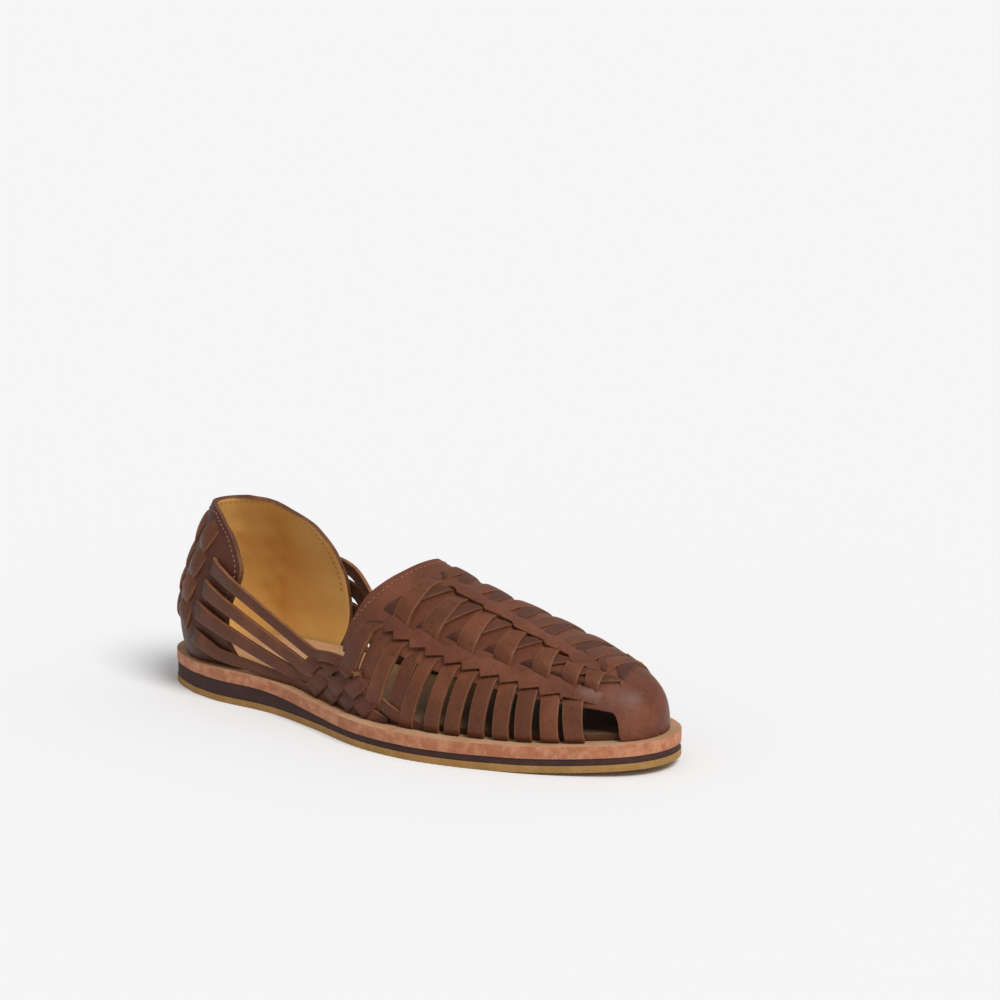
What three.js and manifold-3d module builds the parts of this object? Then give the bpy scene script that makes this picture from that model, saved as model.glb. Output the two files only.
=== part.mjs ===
// Woven leather sandal, right shoe, standing on its sole.
// Millimetres. +X points to the toe, +Y to the inner (medial) side, +Z up.
// The origin is on the floor, under the middle of the sole.
import * as THREE from 'three';
import Module from 'manifold-3d';

const wasm = await Module();
wasm.setup();

// Sole
const soleLength = 255;
const soleWidth = 93;
const heelSwing = 1.6; // side shift of the centre line at the heel
const toeSwing = 6.9; // side shift of the centre line at the toe
const toeSpring = 3.3;
const gumThickness = 2.8;
const wedgeAtHeel = 6.3;
const wedgeAtToe = 2.5;
const boardThickness = 4.6;
const insoleThickness = 2.4;
const layerGap = 0.3;
const treadBevel = 0.9;
const boardRound = 0.6;
const wedgeInset = 0.5;

// Upper
const heelWelt = 6.3; // board that shows behind the heel
const toeWelt = 4.7;
const outerWelt = 7;
const innerWelt = 4;
const instepHeight = 62; // crown over the board, at the throat
const outerFullness = 2; // powers of the section curve on each side
const innerFullness = 2.6;
const wall = 2;
const throatFoot = 117.5; // from the back of the sole, where the throat meets the weave
const throatDepth = 18;
const slotLine = 0.58; // angle share, 0 on the crown and 1 on the board
const skirtBelowSlots = 0.07;
const windowEnd = 242;
const windowCorner = 4;

// Woven strips
const bandWidth = 5;
const bandLift = 1.6;
const flapLift = 1.6;
const tuckLift = 0.6;
const fingerWidth = 6.6;
const fingerLift = 1.1;
const weaveLift = 0.95;
const strapWidth = 6;
const strapThickness = 1.8;
const strapGap = 0.6;

// Heel counter
const counterHeight = 66;
const counterWidth = 56.6;
const counterDepth = 26; // half-axis of the round back of the cup
const counterWing = 50; // reach of the wings from the back of the cup
const counterFlare = 0.14;
const counterWall = 2.4;
const counterCentre = 2.4;
const diamondWidth = 8.6;
const diamondHeight = 12;
const diamondLift = 1.3;

const outer = -1;
const inner = 1;

// Half widths of the sole from its centre line, as shares of the sole width.
const outline = {
  along: [0, 0.08, 0.12, 0.18, 0.3, 0.42, 0.54, 0.64, 0.72, 0.8, 0.88, 0.94, 1],
  outer: [0.235, 0.27, 0.303, 0.338, 0.346, 0.425, 0.526, 0.546, 0.51, 0.445, 0.38, 0.346, 0.344],
  inner: [0.247, 0.28, 0.31, 0.328, 0.311, 0.269, 0.281, 0.361, 0.432, 0.431, 0.387, 0.359, 0.355],
};

// Height of the crown over the board, as shares of the instep height.
const crown = {
  along: [0.38, 0.486, 0.557, 0.643, 0.706, 0.765, 0.816, 0.863, 0.91, 0.94, 0.965, 1],
  height: [1.04, 0.987, 0.881, 0.745, 0.661, 0.584, 0.519, 0.455, 0.408, 0.387, 0.397, 0.403],
};

// Levels of the heel counter, as shares of its height, its width and its wings.
const cup = {
  rise: [0, 0.106, 0.212, 0.364, 0.485, 0.591, 0.667, 0.758, 0.841, 0.924, 0.977, 1],
  lean: [0.029, 0.009, 0, 0.006, 0.03, 0.061, 0.088, 0.118, 0.145, 0.174, 0.194, 0.203],
  width: [0.919, 0.972, 1, 0.989, 0.961, 0.912, 0.862, 0.799, 0.735, 0.664, 0.615, 0.594],
  outerWing: [1, 0.9, 0.86, 0.87, 0.93, 0.985, 0.98, 0.9, 0.8, 0.65, 0.53, 0.4],
  innerWing: [1.2, 1.25, 1.27, 1.25, 1.22, 1.17, 1.13, 1.05, 0.95, 0.75, 0.58, 0.4],
};

// Fingers, from their slot to the board, as shares of the sole length.
const fingers = {
  slot: [0.522, 0.557, 0.587, 0.62, 0.651, 0.686, 0.717, 0.748, 0.78, 0.812, 0.845, 0.877],
  foot: [0.469, 0.512, 0.549, 0.594, 0.624, 0.671, 0.706, 0.746, 0.785, 0.82, 0.859, 0.893],
};

// The middle band lies to the outer side of the crown, by this angle share.
const ridge = {
  along: [0.585, 0.69, 0.745, 0.816, 0.87, 0.91],
  shift: [0.09, 0.09, 0.11, 0.135, 0.185, 0.2],
};

// Flaps between the centre band and a side band, with the strip tucked under each.
const flapStart = 0.04; // angle share between the middle band and the top of a flap
const flaps = {
  topAlong: [0.574, 0.629, 0.683, 0.743, 0.805, 0.853, 0.889],
  topWidth: [5, 5, 5.4, 5.4, 5.4, 6.6, 6.4],
  footAlong: [0.569, 0.626, 0.691, 0.753, 0.817, 0.862, 0.897],
  footAngle: [0.49, 0.48, 0.45, 0.43, 0.43, 0.42, 0.44],
  footWidth: [8, 8.4, 8.4, 8.2, 7.6, 6.6, 5.6],
  tuckTop: [0.607, 0.665, 0.723, 0.781, 0.849, 0.893, 0.925],
  tuckFoot: [0.545, 0.614, 0.669, 0.733, 0.794, 0.84, 0.878],
};

// Straps: slot and wing crossing on the counter, then the weave beside the throat.
const straps = {
  slotAlong: [0.149, 0.138, 0.122, 0.118],
  slotRise: [0.658, 0.509, 0.358, 0.179],
  wingAlong: [0.215, 0.203, 0.198, 0.183],
  innerWingAlong: [0.272, 0.274, 0.279, 0.281],
  wingRise: [0.514, 0.383, 0.239, 0.07],
  midRise: [0.375, 0.25, 0.145, 0.06],
  entryAlong: [0.395, 0.378, 0.362, 0.34],
  entryAngle: [0.83, 0.88, 0.93, 0.965],
  footAlong: [0.655, 0.585, 0.52, 0.455],
};
const wovenFingers = 4;

// Short strands that close the weave behind the first finger, down to the board.
const strands = {
  topAlong: [0.486, 0.455, 0.424],
  topAngle: [0.8, 0.803, 0.81],
  footAlong: [0.424, 0.398, 0.371],
};
const strandLift = 0.45;

const brown = { color: 0x6b4330, roughness: 0.62, metalness: 0 };
const finishes = {
  outsole: { color: 0xa58246, roughness: 0.8, metalness: 0 },
  midsole: { color: 0x412d2a, roughness: 0.8, metalness: 0 },
  leather_board: { color: 0xc88769, roughness: 0.75, metalness: 0 },
  insole: { color: 0xaa825f, roughness: 0.7, metalness: 0 },
  heel_counter: { color: 0x53352d, roughness: 0.6, metalness: 0 },
  upper: brown,
};

// A smooth curve through one column of a table.
function follow(along, column, share) {
  const last = along.length - 1;
  const t = THREE.MathUtils.clamp(share, along[0], along[last]);
  let i = 0;
  while (i < last - 1 && t > along[i + 1]) i += 1;
  const slope = (k) => {
    const before = Math.max(k - 1, 0);
    const after = Math.min(k + 1, last);
    return (column[after] - column[before]) / (along[after] - along[before]);
  };
  const span = along[i + 1] - along[i];
  const s = (t - along[i]) / span;
  const s2 = s * s;
  const s3 = s2 * s;
  const from = (2 * s3 - 3 * s2 + 1) * column[i] + (s3 - 2 * s2 + s) * span * slope(i);
  const to = (3 * s2 - 2 * s3) * column[i + 1] + (s3 - s2) * span * slope(i + 1);
  return from + to;
}

const mix = THREE.MathUtils.lerp;
const smooth = (s) => s * s * (3 - 2 * s);
const shareAt = (x) => x / soleLength + 0.5;
const placeAt = (share) => (share - 0.5) * soleLength;

// The round ends of the outline.
const heelRound = 0.12;
const toeRound = 0.2;
const roundPower = 2.2;
function endRound(share) {
  let reach = 0;
  if (share < heelRound) reach = (heelRound - share) / heelRound;
  if (share > 1 - toeRound) reach = (share - 1 + toeRound) / toeRound;
  return Math.sqrt(Math.max(0, 1 - reach ** roundPower));
}

const centreLine = (share) => heelSwing + (toeSwing - heelSwing) * share;

function halfWidth(share, side) {
  const column = side === outer ? outline.outer : outline.inner;
  return follow(outline.along, column, share) * soleWidth * endRound(share);
}

// Heights of the sole's layers.
const springStart = 0.7;
function floorLift(share) {
  const rise = Math.max(0, share - springStart) / (1 - springStart);
  return toeSpring * rise * rise;
}
const wedgeStart = 0.225;
const wedgeEnd = 0.503;
function wedgeThickness(share) {
  const s = THREE.MathUtils.clamp((share - wedgeStart) / (wedgeEnd - wedgeStart), 0, 1);
  return wedgeAtHeel + (wedgeAtToe - wedgeAtHeel) * smooth(s);
}
const gumTop = (share) => floorLift(share) + gumThickness;
const wedgeBottom = (share) => gumTop(share) + layerGap;
const wedgeTop = (share) => wedgeBottom(share) + wedgeThickness(share);
const boardBottom = (share) => wedgeTop(share) + layerGap;
const boardTop = (share) => boardBottom(share) + boardThickness;
const upperBottom = (share) => boardTop(share) + layerGap;

// A closed solid from flat lists, turned so that its faces point out.
function closedSolid(positions, triangles) {
  let volume = 0;
  for (let i = 0; i < triangles.length; i += 3) {
    const [a, b, c] = [0, 1, 2].map((k) => positions[triangles[i + k]]);
    volume += a.dot(new THREE.Vector3().crossVectors(b, c));
  }
  if (volume < 0) {
    for (let i = 0; i < triangles.length; i += 3) {
      [triangles[i + 1], triangles[i + 2]] = [triangles[i + 2], triangles[i + 1]];
    }
  }
  const vertProperties = new Float32Array(positions.flatMap((p) => [p.x, p.y, p.z]));
  const mesh = new wasm.Mesh({ numProp: 3, vertProperties, triVerts: new Uint32Array(triangles) });
  return new wasm.Manifold(mesh);
}

// Rings of points joined in turn, with the two end rings filled.
function ringSolid(rings, fillEnd) {
  const count = rings[0].length;
  const positions = rings.flat();
  const triangles = [];
  for (let r = 0; r < rings.length - 1; r += 1) {
    for (let i = 0; i < count; i += 1) {
      const a = r * count + i;
      const b = r * count + ((i + 1) % count);
      triangles.push(a, b, b + count, a, b + count, a + count);
    }
  }
  const lastRing = (rings.length - 1) * count;
  for (const [a, b, c] of fillEnd(count)) {
    triangles.push(c, b, a, lastRing + a, lastRing + b, lastRing + c);
  }
  return closedSolid(positions, triangles);
}

// One layer of the sole: rows of inset and height round the outline.
const soleSteps = 30;
function outlineRing(inset, height, sizeOf) {
  const shareOf = (i) => (1 - Math.cos((Math.PI * i) / soleSteps)) / 2;
  const corner = (i, side) => {
    const share = shareOf(i);
    const { x, y } = sizeOf(share, side, inset);
    return new THREE.Vector3(x, y, height(shareAt(x)));
  };
  const ring = [];
  for (let i = 0; i <= soleSteps; i += 1) ring.push(corner(i, outer));
  for (let i = soleSteps - 1; i > 0; i -= 1) ring.push(corner(i, inner));
  return ring;
}

function crossFill(count) {
  const triangles = [[0, 1, count - 1]];
  for (let i = 1; i < soleSteps - 1; i += 1) {
    const far = count - i;
    triangles.push([i, i + 1, far], [i + 1, far - 1, far]);
  }
  triangles.push([soleSteps - 1, soleSteps, soleSteps + 1]);
  return triangles;
}

function solePoint(share, side, inset) {
  const narrower = 1 - inset / (soleWidth / 2);
  const x = placeAt(share) * (1 - inset / (soleLength / 2));
  return { x, y: centreLine(share) + side * halfWidth(share, side) * narrower };
}

function soleLayer(rows, sizeOf = solePoint) {
  return ringSolid(rows.map(([inset, height]) => outlineRing(inset, height, sizeOf)), crossFill);
}

const outsole = soleLayer([
  [treadBevel, floorLift],
  [0, (share) => floorLift(share) + treadBevel],
  [0, gumTop],
]);
const midsole = soleLayer([
  [wedgeInset, wedgeBottom],
  [wedgeInset, wedgeTop],
]);
const leatherBoard = soleLayer([
  [0, boardBottom],
  [0, (share) => boardTop(share) - boardRound],
  [boardRound, boardTop],
]);

// The last: its foot line stands on the board inside the welt.
const lastHeel = -soleLength / 2 + heelWelt;
const lastToe = soleLength / 2 - toeWelt;
const lastShare = (x) => THREE.MathUtils.clamp((x - lastHeel) / (lastToe - lastHeel), 0, 1);
const outerKeep = 1 - outerWelt / (Math.max(...outline.outer) * soleWidth);
const innerKeep = 1 - innerWelt / (Math.max(...outline.inner) * soleWidth);

const toeCurl = 0.1;
const curlPower = 2.6;
function crownHeight(x) {
  const reach = Math.max(0, lastShare(x) - 1 + toeCurl) / toeCurl;
  const round = Math.sqrt(Math.max(0, 1 - reach ** curlPower));
  return follow(crown.along, crown.height, shareAt(x)) * instepHeight * round;
}

// A point of the last. Angle is -1 on the outer foot line, 0 on the crown, 1 on the inner one.
function lastPoint(x, angle) {
  const side = angle < 0 ? outer : inner;
  const power = side === outer ? outerFullness : innerFullness;
  const keep = side === outer ? outerKeep : innerKeep;
  const turn = (Math.abs(angle) * Math.PI) / 2;
  const share = lastShare(x);
  const half = halfWidth(share, side) * keep;
  const lift = Math.max(0, Math.cos(turn)) ** (2 / outerFullness);
  const y = centreLine(share) + side * half * (1 - lift ** power) ** (1 / power);
  return new THREE.Vector3(x, y, upperBottom(shareAt(x)) + crownHeight(x) * lift);
}

const probe = 0.4;
const angleProbe = 0.01;
const steepest = 1 - 2 * angleProbe;
function lastNormal(x, angle) {
  const back = Math.min(x, lastToe - 2 * probe);
  const a = THREE.MathUtils.clamp(angle, -steepest, steepest);
  const alongX = lastPoint(back + probe, a).sub(lastPoint(back - probe, a));
  const round = lastPoint(back, a + angleProbe).sub(lastPoint(back, a - angleProbe));
  return alongX.cross(round).normalize();
}

// A point off the last's surface, kept on or above the board.
function offLast(x, angle, lift) {
  const point = lastPoint(x, angle).addScaledVector(lastNormal(x, angle), lift);
  point.z = Math.max(point.z, upperBottom(shareAt(x)));
  return point;
}

// A strip with four corners at each station, closed at both ends.
const boxEnds = () => [[0, 1, 2], [0, 2, 3]];
const stripSolid = (stations) => ringSolid(stations, boxEnds);

// A strip that hugs the last. Path gives x, angle, width along x, and the lift at a share.
function stripOnLast(path, steps) {
  const stations = [];
  for (let i = 0; i <= steps; i += 1) {
    const { x, angle, width, lift, depth, slant = 0 } = path(i / steps);
    const left = [x - width / 2, angle + slant];
    const right = [x + width / 2, angle - slant];
    stations.push([
      offLast(left[0], left[1], lift),
      offLast(right[0], right[1], lift),
      offLast(right[0], right[1], lift - depth),
      offLast(left[0], left[1], lift - depth),
    ]);
  }
  return stripSolid(stations);
}

// The vamp plate: from the throat line to the toe tip, down to its reach on each side.
const plateRows = 16;
const plateColumns = 14;
const tipGap = 0.03; // keeps the last row of the plate from closing to a point
const throatReach = 0.64;
const throatPower = 1.9;
function throatLine(angle) {
  const up = 1 - Math.min(1, Math.abs(angle) / throatReach) ** throatPower;
  return throatFoot - soleLength / 2 + throatDepth * up;
}

const rearReach = 0.12;
const rearFade = 14;
function plateReach(x) {
  const fromHeel = x + soleLength / 2;
  const rear = THREE.MathUtils.clamp(1 - (fromHeel - throatFoot) / rearFade, 0, 1);
  const base = slotLine + skirtBelowSlots + rearReach * rear;
  const corner = THREE.MathUtils.clamp((fromHeel - windowEnd + windowCorner) / windowCorner, 0, 1);
  return base + (1 - base) * (1 - Math.sqrt(1 - corner * corner));
}

function platePoint(row, column, lift) {
  const across = (2 * column) / plateColumns - 1;
  const start = throatLine(across * plateReach(throatLine(across)));
  const spread = Math.sin((row / plateRows) * (Math.PI / 2)) ** 1.12;
  const x = start + (lastToe - tipGap - start) * spread;
  return offLast(x, across * plateReach(x), lift);
}

function gridShell(rows, columns, pointAt, thickness) {
  const positions = [];
  for (const lift of [0, -thickness]) {
    for (let r = 0; r <= rows; r += 1) {
      for (let c = 0; c <= columns; c += 1) positions.push(pointAt(r, c, lift));
    }
  }
  const skin = (rows + 1) * (columns + 1);
  const at = (r, c) => r * (columns + 1) + c;
  const triangles = [];
  const quad = (a, b, c, d) => triangles.push(a, b, c, a, c, d);
  for (let r = 0; r < rows; r += 1) {
    for (let c = 0; c < columns; c += 1) {
      const [a, b, d, e] = [at(r, c), at(r, c + 1), at(r + 1, c + 1), at(r + 1, c)];
      quad(a, b, d, e);
      quad(skin + e, skin + d, skin + b, skin + a);
    }
    for (const c of [0, columns]) {
      const [a, b] = c === 0 ? [at(r, c), at(r + 1, c)] : [at(r + 1, c), at(r, c)];
      quad(a, b, skin + b, skin + a);
    }
  }
  for (let c = 0; c < columns; c += 1) {
    quad(at(0, c + 1), at(0, c), skin + at(0, c), skin + at(0, c + 1));
    quad(at(rows, c), at(rows, c + 1), skin + at(rows, c + 1), skin + at(rows, c));
  }
  return closedSolid(positions, triangles);
}

const plate = gridShell(plateRows, plateColumns, platePoint, wall);

// Lengthwise bands, raised over the plate.
function band(angleAt, from, to) {
  const widthShare = (x, angle) => {
    const step = lastPoint(x, angle + angleProbe).distanceTo(lastPoint(x, angle - angleProbe));
    return (bandWidth / 2) * ((2 * angleProbe) / step);
  };
  const steps = 6;
  const stations = [];
  for (let i = 0; i <= steps; i += 1) {
    const x = placeAt(from + ((to - from) * i) / steps);
    const angle = angleAt(shareAt(x));
    const half = widthShare(x, angle);
    stations.push([
      offLast(x, angle - half, bandLift),
      offLast(x, angle + half, bandLift),
      offLast(x, angle + half, bandLift - wall),
      offLast(x, angle - half, bandLift - wall),
    ]);
  }
  return stripSolid(stations);
}

const ridgeShift = (share) => follow(ridge.along, ridge.shift, share);
const bandStart = 0.585;
const bandEnd = 0.9;
const bandAboveSlots = 0.055;
const lengthwise = [
  band((share) => -ridgeShift(share), bandStart, bandEnd),
  band(() => -(slotLine - bandAboveSlots), bandStart - 0.05, bandEnd),
  band(() => slotLine - bandAboveSlots, bandStart - 0.05, bandEnd),
];

const flapTop = (along, side) => side * flapStart - ridgeShift(along);

function flap(i, side) {
  return stripOnLast((s) => ({
    x: placeAt(mix(flaps.topAlong[i], flaps.footAlong[i], s)),
    angle: mix(flapTop(flaps.topAlong[i], side), side * flaps.footAngle[i], s),
    width: mix(flaps.topWidth[i], flaps.footWidth[i], s),
    lift: flapLift * (0.55 + 0.45 * Math.sin(Math.PI * s)),
    depth: wall,
  }), 2);
}

function tuck(i, side) {
  return stripOnLast((s) => ({
    x: placeAt(mix(flaps.tuckTop[i], flaps.tuckFoot[i], s)),
    angle: mix(flapTop(flaps.tuckTop[i], side), side * flaps.footAngle[i], s),
    width: mix(flaps.topWidth[i], flaps.footWidth[i], s),
    lift: tuckLift,
    depth: wall,
  }), 2);
}

// A finger runs from its slot to the board. The first few are woven with the straps.
const easeDown = (s) => s ** 1.25;
function fingerPath(i, side, liftAt) {
  return (s) => ({
    x: placeAt(fingerAlong(i, s)),
    angle: side * mix(slotAngle, 1, s),
    width: fingerWidth,
    lift: liftAt(s),
    depth: wall,
  });
}

// Where a strap and a finger cross: both are read at the same angle, and the gap is closed.
const slotAngle = slotLine - 0.02;
const fingerAlong = (i, s) => mix(fingers.slot[i], fingers.foot[i], easeDown(s));
const strapAlong = (i, s) => mix(straps.entryAlong[i], straps.footAlong[i], s);
const strapDip = 2; // above 1 the straps stay high before they dip to the board
const strapAngle = (i, s) => mix(straps.entryAngle[i], 1, s ** strapDip);
const shareOfFinger = (angle) => (angle - slotAngle) / (1 - slotAngle);
function crossing(finger, strap) {
  const gap = (s) => strapAlong(strap, s) - fingerAlong(finger, shareOfFinger(strapAngle(strap, s)));
  let low = 0;
  let high = 1;
  if (gap(low) > 0 || gap(high) < 0) return { met: false };
  for (let k = 0; k < 30; k += 1) {
    const middle = (low + high) / 2;
    if (gap(middle) < 0) low = middle;
    else high = middle;
  }
  return { met: true, alongStrap: low, alongFinger: shareOfFinger(strapAngle(strap, low)) };
}

// Lift that goes over at even crossings and under at odd ones.
function weaveWave(places, parity) {
  const marks = places.map((place, k) => [place, (k + parity) % 2 === 0 ? 1 : -1]);
  return (s) => {
    if (marks.length === 0) return 0;
    if (s <= marks[0][0]) return marks[0][1];
    for (let k = 0; k < marks.length - 1; k += 1) {
      const [from, sign] = marks[k];
      const to = marks[k + 1][0];
      if (s <= to) return sign * Math.cos((Math.PI * (s - from)) / (to - from));
    }
    return marks[marks.length - 1][1];
  };
}

const strapNumbers = [0, 1, 2, 3];
const strapOrder = (finger) => strapNumbers
  .map((strap) => ({ strap, ...crossing(finger, strap) }))
  .filter((c) => c.met)
  .sort((a, b) => a.alongFinger - b.alongFinger);
const fingerOrder = (strap) => [...Array(wovenFingers).keys()]
  .map((finger) => ({ finger, ...crossing(finger, strap) }))
  .filter((c) => c.met)
  .sort((a, b) => a.alongStrap - b.alongStrap);

function finger(i, side) {
  if (i >= wovenFingers) {
    return stripOnLast(fingerPath(i, side, () => fingerLift), 3);
  }
  const order = strapOrder(i);
  if (order.length === 0) {
    return stripOnLast(fingerPath(i, side, () => fingerLift), 3);
  }
  const wave = weaveWave(order.map((c) => c.alongFinger), order[0].strap + i);
  return stripOnLast(fingerPath(i, side, (s) => fingerLift + weaveLift * (wave(s) - 1) * 0.9), 6);
}

function strand(i, side) {
  return stripOnLast((s) => ({
    x: placeAt(mix(strands.topAlong[i], strands.footAlong[i], s)),
    angle: side * mix(strands.topAngle[i], 1, s),
    width: fingerWidth,
    lift: strandLift,
    depth: wall,
  }), 2);
}

// The cup of the heel counter. Turn is 0 at the back and 1 where its side runs straight.
function cupLevel(rise) {
  const at = (column) => follow(cup.rise, column, rise);
  const back = lastHeel + at(cup.lean) * counterHeight;
  return {
    back,
    half: (at(cup.width) * counterWidth) / 2,
    flare: counterFlare * rise,
    z: upperBottom(0.1) + rise * counterHeight,
    wing: (side) => lastHeel + counterWing * at(side === outer ? cup.outerWing : cup.innerWing),
  };
}

function cupPoint(rise, x, side) {
  const level = cupLevel(rise);
  const straight = Math.max(0, x - level.back - counterDepth);
  const cosine = THREE.MathUtils.clamp(1 - (x - level.back) / counterDepth, 0, 1);
  const half = level.half * Math.sqrt(1 - cosine * cosine) + level.flare * straight;
  return new THREE.Vector3(Math.max(x, level.back), counterCentre + side * half, level.z);
}

function cupNormal(rise, x, side) {
  const low = Math.max(rise - angleProbe, 0);
  const here = cupLevel(rise);
  const place = Math.max(x, here.back + probe);
  const alongX = cupPoint(rise, place + probe, side).sub(cupPoint(rise, place, side));
  const up = cupPoint(low + 2 * angleProbe, place, side).sub(cupPoint(low, place, side));
  return side === outer ? alongX.cross(up).normalize() : up.cross(alongX).normalize();
}

const counterRows = 10;
const counterColumns = 16;
function counterPoint(row, column, lift) {
  const rise = (row / counterRows) ** 0.92;
  const across = (2 * column) / counterColumns - 1;
  const side = across < 0 ? outer : inner;
  const level = cupLevel(rise);
  const reach = level.wing(side) - level.back;
  const straight = Math.max(0, reach - counterDepth);
  const quarter = Math.acos(THREE.MathUtils.clamp(1 - reach / counterDepth, 0, 1));
  const travel = Math.abs(across) * (quarter * counterDepth + straight);
  const turn = Math.min(travel / counterDepth, quarter);
  const past = travel - turn * counterDepth;
  const x = level.back + counterDepth * (1 - Math.cos(turn)) + Math.max(0, past);
  const half = level.half * Math.sin(turn) + level.flare * Math.max(0, x - level.back - counterDepth);
  const point = new THREE.Vector3(x, counterCentre + side * half, level.z);
  if (lift === 0) return point;
  const inward = new THREE.Vector3(-Math.cos(turn) * level.half, side * Math.sin(turn) * counterDepth, 0);
  return point.addScaledVector(inward.normalize(), lift);
}
const counterShell = gridShell(counterRows, counterColumns, counterPoint, counterWall);

// Strips woven through the counter: columns of raised diamonds round the back of the heel.
const diamondPlaces = {
  turn: [0, 0.385, -0.385, 0.77, -0.77],
  firstRise: [0.345, 0.325, 0.325, 0.3, 0.3],
};
const diamondPitch = 0.168;
const diamondRows = 4;
function diamond(turnShare, rise) {
  const side = turnShare < 0 ? outer : inner;
  const corner = (stepTurn, stepRise, lift) => {
    const level = cupLevel(rise + stepRise / counterHeight);
    const turn = turnShare * (Math.PI / 2) + stepTurn / counterDepth;
    const x = level.back + counterDepth * (1 - Math.cos(turn));
    const y = counterCentre + level.half * Math.sin(turn);
    const out = new THREE.Vector3(-Math.cos(turn) * level.half, Math.sin(turn) * counterDepth, 0);
    return new THREE.Vector3(x, y, level.z).addScaledVector(out.normalize(), lift);
  };
  const slant = side * diamondHeight * 0.16;
  const outlineOf = (lift) => [
    corner(-diamondWidth / 2, -diamondHeight / 2 + slant, lift),
    corner(diamondWidth / 2, -diamondHeight / 2 - slant, lift),
    corner(diamondWidth / 2, diamondHeight / 2 - slant, lift),
    corner(-diamondWidth / 2, diamondHeight / 2 + slant, lift),
  ];
  return stripSolid([outlineOf(-counterWall / 2), outlineOf(diamondLift)]);
}
const diamonds = diamondPlaces.turn.flatMap((turn, column) => (
  [...Array(diamondRows).keys()].map((row) => (
    diamond(turn, diamondPlaces.firstRise[column] + row * diamondPitch)
  ))
));
const heelCounter = wasm.Manifold.union([counterShell, ...diamonds]);

// A strap: over the counter from its slot, free along the side, then woven to the board.
function strapRear(i, side) {
  const lift = strapGap + strapThickness / 2;
  const wingAlong = side === outer ? straps.wingAlong[i] : straps.innerWingAlong[i];
  const onCup = (along, rise) => {
    const x = placeAt(along);
    return cupPoint(rise, x, side).addScaledVector(cupNormal(rise, x, side), lift);
  };
  const wing = onCup(wingAlong, straps.wingRise[i]);
  const entry = offLast(placeAt(straps.entryAlong[i]), side * straps.entryAngle[i], 0);
  const middle = wing.clone().lerp(entry, 0.5);
  if (side === outer) middle.z = cupLevel(straps.midRise[i]).z;
  return new THREE.CatmullRomCurve3([
    onCup(straps.slotAlong[i], straps.slotRise[i]),
    onCup(mix(straps.slotAlong[i], wingAlong, 0.5), mix(straps.slotRise[i], straps.wingRise[i], 0.5)),
    wing,
    middle,
    entry,
  ], false, 'centripetal');
}

function strap(i, side) {
  const path = strapRear(i, side);
  const rearSteps = 6;
  const stations = [];
  const station = (centre, out, along) => {
    const across = new THREE.Vector3().crossVectors(out, along).normalize().multiplyScalar(strapWidth / 2);
    const thick = out.clone().multiplyScalar(strapThickness / 2);
    return [
      centre.clone().sub(across).add(thick),
      centre.clone().add(across).add(thick),
      centre.clone().add(across).sub(thick),
      centre.clone().sub(across).sub(thick),
    ];
  };
  const slotOut = cupNormal(straps.slotRise[i], placeAt(straps.slotAlong[i]), side);
  const wingOut = cupNormal(straps.wingRise[i], placeAt(straps.wingAlong[i]), side);
  const entryOut = lastNormal(placeAt(straps.entryAlong[i]), side * straps.entryAngle[i]);
  for (let k = 0; k < rearSteps; k += 1) {
    const s = k / rearSteps;
    const out = s < 0.35
      ? slotOut.clone().lerp(wingOut, s / 0.35)
      : wingOut.clone().lerp(entryOut, (s - 0.35) / 0.65);
    stations.push(station(path.getPointAt(s), out.normalize(), path.getTangentAt(s)));
  }
  const order = fingerOrder(i);
  const parity = order.length > 0 ? order[0].finger + i + 1 : 0;
  const wave = weaveWave(order.map((c) => c.alongStrap), parity);
  const wovenSteps = 7;
  for (let k = 0; k <= wovenSteps; k += 1) {
    const s = k / wovenSteps;
    const x = placeAt(mix(straps.entryAlong[i], straps.footAlong[i], s));
    const angle = side * strapAngle(i, s);
    const lift = weaveLift * wave(s) * 0.9 * Math.min(1, s * 6);
    const centre = offLast(x, angle, lift);
    const ahead = offLast(x + 1, angle + side * 0.002, lift);
    stations.push(station(centre, lastNormal(x, angle), ahead.sub(centre).normalize()));
  }
  for (const corners of stations) {
    for (const corner of corners) corner.z = Math.max(corner.z, upperBottom(shareAt(corner.x)));
  }
  return stripSolid(stations);
}

const bothSides = (make, count) => [outer, inner].flatMap((side) => (
  [...Array(count).keys()].map((i) => make(i, side))
));
const upper = wasm.Manifold.union([
  plate,
  ...lengthwise,
  ...bothSides(flap, flaps.topAlong.length),
  ...bothSides(tuck, flaps.tuckTop.length),
  ...bothSides(finger, fingers.slot.length),
  ...bothSides(strand, strands.topAlong.length),
  ...bothSides(strap, strapNumbers.length),
]);

// The insole lies on the board, inside the walls of the upper and of the heel counter.
const insoleInset = 3.4;
const insoleGap = 1.2;
const insoleSpread = 0.9; // how fast it widens in front of the counter's wings
function insideCounter(x, side) {
  const base = cupLevel(0);
  const across = THREE.MathUtils.clamp(1 - (x - base.back - counterWall) / counterDepth, 0, 1);
  const past = Math.max(0, x - base.wing(side));
  return (base.half - counterWall) * Math.sqrt(1 - across * across) - insoleGap + insoleSpread * past;
}

function insolePoint(share, side) {
  const keep = side === outer ? outerKeep : innerKeep;
  const heel = cupLevel(0).back + counterWall + insoleGap;
  const x = heel + (lastToe - insoleInset - heel) * share;
  const inLast = halfWidth(share, side) * keep - insoleInset * endRound(share);
  const inCup = side * insideCounter(x, side) + counterCentre;
  const inUpper = centreLine(share) + side * inLast;
  return { x, y: side === outer ? Math.max(inCup, inUpper) : Math.min(inCup, inUpper) };
}
const insole = soleLayer([
  [0, upperBottom],
  [0, (share) => upperBottom(share) + insoleThickness],
], insolePoint);

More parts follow.
